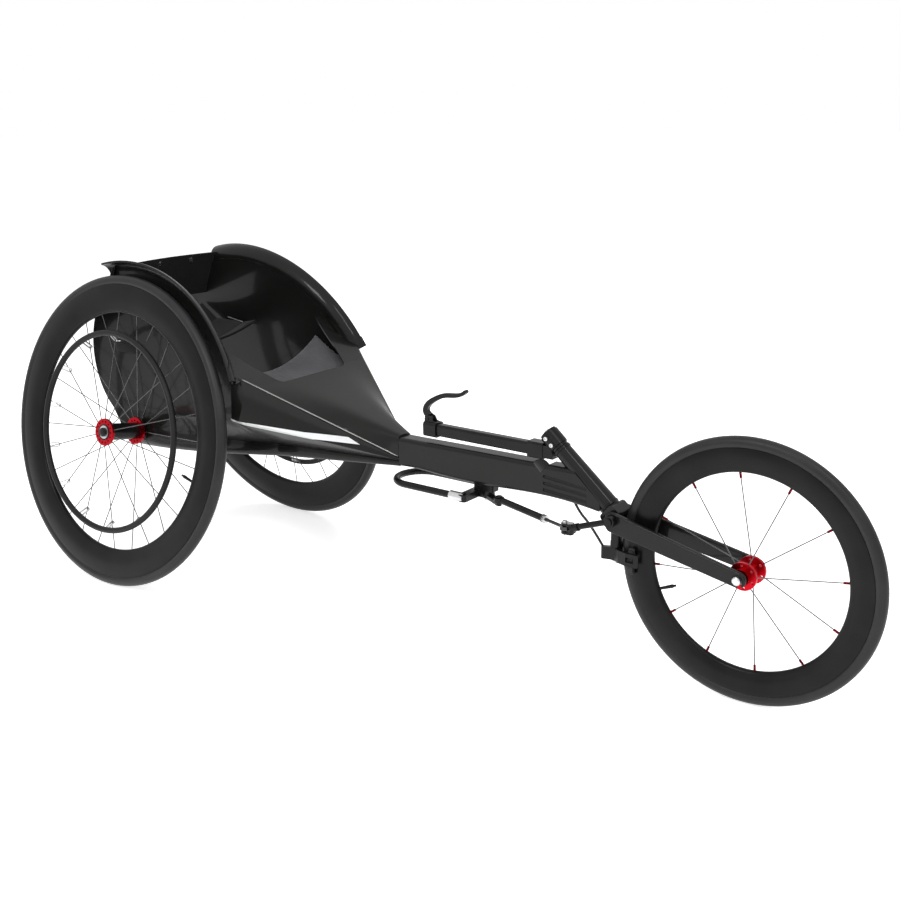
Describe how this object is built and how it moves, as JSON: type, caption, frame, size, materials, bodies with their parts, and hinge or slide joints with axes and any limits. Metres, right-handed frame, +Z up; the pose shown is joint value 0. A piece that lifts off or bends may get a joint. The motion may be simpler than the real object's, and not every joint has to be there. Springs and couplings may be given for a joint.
{
  "type": "racing wheelchair",
  "caption": "Three-wheeled racing wheelchair: open carbon tub with fenders, cambered deep-rim rear wheels with push rings, long beam and steered front wheel.",
  "frame": {"origin": "on the ground, midway along the overall length, on the centre plane", "axes": "+X forward to the front wheel, +Y to the rider's left, +Z up"},
  "size_m": [1.923, 0.618, 0.686],
  "materials": {
    "carbon_gloss": "glossy clear-coated black carbon",
    "rim_black": "satin black carbon",
    "tyre_black": "matt black tubular tyre",
    "ring_rubber": "matt moulded coating",
    "spoke_black": "black bladed steel",
    "silver_metal": "satin machined",
    "bearing_steel": "satin",
    "red_metal": "red anodised",
    "black_metal": "black anodised",
    "polished_steel": "polished",
    "pad_rubber": "matt",
    "cable_black": "satin cable housing",
    "black_fabric": "woven webbing and neoprene",
    "grey_fabric": "knitted neoprene"
  },
  "bodies": {
    "frame": {"tub_shell": "carbon_gloss", "dash_panel": "carbon_gloss", "side_guard_right": "carbon_gloss", "side_guard_left": "carbon_gloss", "main_beam": "carbon_gloss", "head_tube": "carbon_gloss", "headset_cups": "black_metal", "axle_tube": "black_metal", "axle_sockets": "black_metal", "axle_right": "black_metal", "axle_left": "black_metal", "kneel_plate": "black_metal", "knee_pad": "grey_fabric", "seat_sling": "black_fabric", "back_upholstery": "black_fabric", "seat_straps": "black_fabric", "compensator_bracket": "black_metal"},
    "fork": {"fork_crown": "carbon_gloss", "fork_blade_right": "carbon_gloss", "fork_blade_left": "carbon_gloss", "fork_dropouts": "black_metal", "front_axle": "silver_metal", "stem": "black_metal", "stem_bolts": "silver_metal", "handlebar": "black_metal", "lever_bracket": "black_metal", "steering_arm": "black_metal", "caliper_mount": "black_metal", "brake_cable": "cable_black"},
    "front_wheel": {"front_tyre": "tyre_black", "front_rim": "rim_black", "front_spokes": "spoke_black", "front_nipples": "red_metal", "front_hub": "red_metal", "front_bearings": "bearing_steel"},
    "lever": {"brake_lever": "black_metal"},
    "caliper_right": {"caliper_arm_right": "black_metal", "brake_pad_right": "pad_rubber"},
    "caliper_left": {"caliper_arm_left": "black_metal", "brake_pad_left": "pad_rubber"},
    "compensator": {"compensator_handle": "black_metal", "compensator_yoke": "silver_metal"},
    "damper_body": {"damper_cylinder": "black_metal"},
    "damper_rod_body": {"damper_rod": "polished_steel"},
    "rear_wheel_right": {"rear_tyre_right": "tyre_black", "rear_rim_right": "rim_black", "rear_spokes_right": "spoke_black", "rear_hub_right": "black_metal", "hub_flanges_right": "red_metal", "hub_bearings_right": "bearing_steel", "push_ring_right": "ring_rubber", "ring_hooks_right": "silver_metal"},
    "rear_wheel_left": {"rear_tyre_left": "tyre_black", "rear_rim_left": "rim_black", "rear_spokes_left": "spoke_black", "rear_hub_left": "black_metal", "hub_flanges_left": "red_metal", "hub_bearings_left": "bearing_steel", "push_ring_left": "ring_rubber", "ring_hooks_left": "silver_metal"}
  },
  "joints": [
    {"name": "rear_wheel_right_spin", "type": "hinge", "parent": "frame", "child": "rear_wheel_right", "pos_m": [-0.6275, -0.236, 0.32808], "axis": [0, 0.9816, -0.1908], "continuous": true},
    {"name": "rear_wheel_left_spin", "type": "hinge", "parent": "frame", "child": "rear_wheel_left", "pos_m": [-0.6275, 0.236, 0.32808], "axis": [0, 0.9816, 0.1908], "continuous": true},
    {"name": "steering", "type": "hinge", "parent": "frame", "child": "fork", "pos_m": [0.4505, 0, 0.308], "axis": [-0.7524, 0, 0.6587], "range_deg": [-12, 12], "stiffness_Nm_per_rad": 6, "deforming": ["brake_cable"]},
    {"name": "front_wheel_spin", "type": "hinge", "parent": "fork", "child": "front_wheel", "pos_m": [0.7225, 0, 0.239], "axis": [0, 1, 0], "continuous": true},
    {"name": "brake_lever", "type": "hinge", "parent": "fork", "child": "lever", "pos_m": [0.04485, 0, 0.407], "axis": [0, 1, 0], "range_deg": [0, 20], "stiffness_Nm_per_rad": 0.6},
    {"name": "caliper_arm_right", "type": "hinge", "parent": "fork", "child": "caliper_right", "pos_m": [0.4725, -0.01, 0.222], "axis": [0, 0, 1], "range_deg": [0, 3.2]},
    {"name": "caliper_arm_left", "type": "hinge", "parent": "fork", "child": "caliper_left", "pos_m": [0.4725, 0.01, 0.222], "axis": [0, 0, -1], "range_deg": [0, 3.2]},
    {"name": "compensator_turn", "type": "hinge", "parent": "frame", "child": "compensator", "pos_m": [0.1855, 0, 0.278], "axis": [0, 0, 1], "range_deg": [-4, 4]},
    {"name": "damper_swing", "type": "hinge", "parent": "frame", "child": "damper_body", "pos_m": [0.2305, -0.03, 0.283], "axis": [-0.1506, -0.4543, -0.878], "range_deg": [-6.5, 6.5]},
    {"name": "damper_stroke", "type": "slide", "parent": "damper_body", "child": "damper_rod_body", "axis": [0.9882, -0.095, -0.1204], "range_m": [-0.0071, 0.0071]}
  ],
  "couplings": [
    {"joint": "caliper_arm_right", "follows": "brake_lever", "ratio": 0.16},
    {"joint": "caliper_arm_left", "follows": "brake_lever", "ratio": 0.16},
    {"joint": "damper_swing", "follows": "steering", "ratio": 0.51624},
    {"joint": "damper_stroke", "follows": "steering", "m_per_rad": 0.032367}
  ]
}
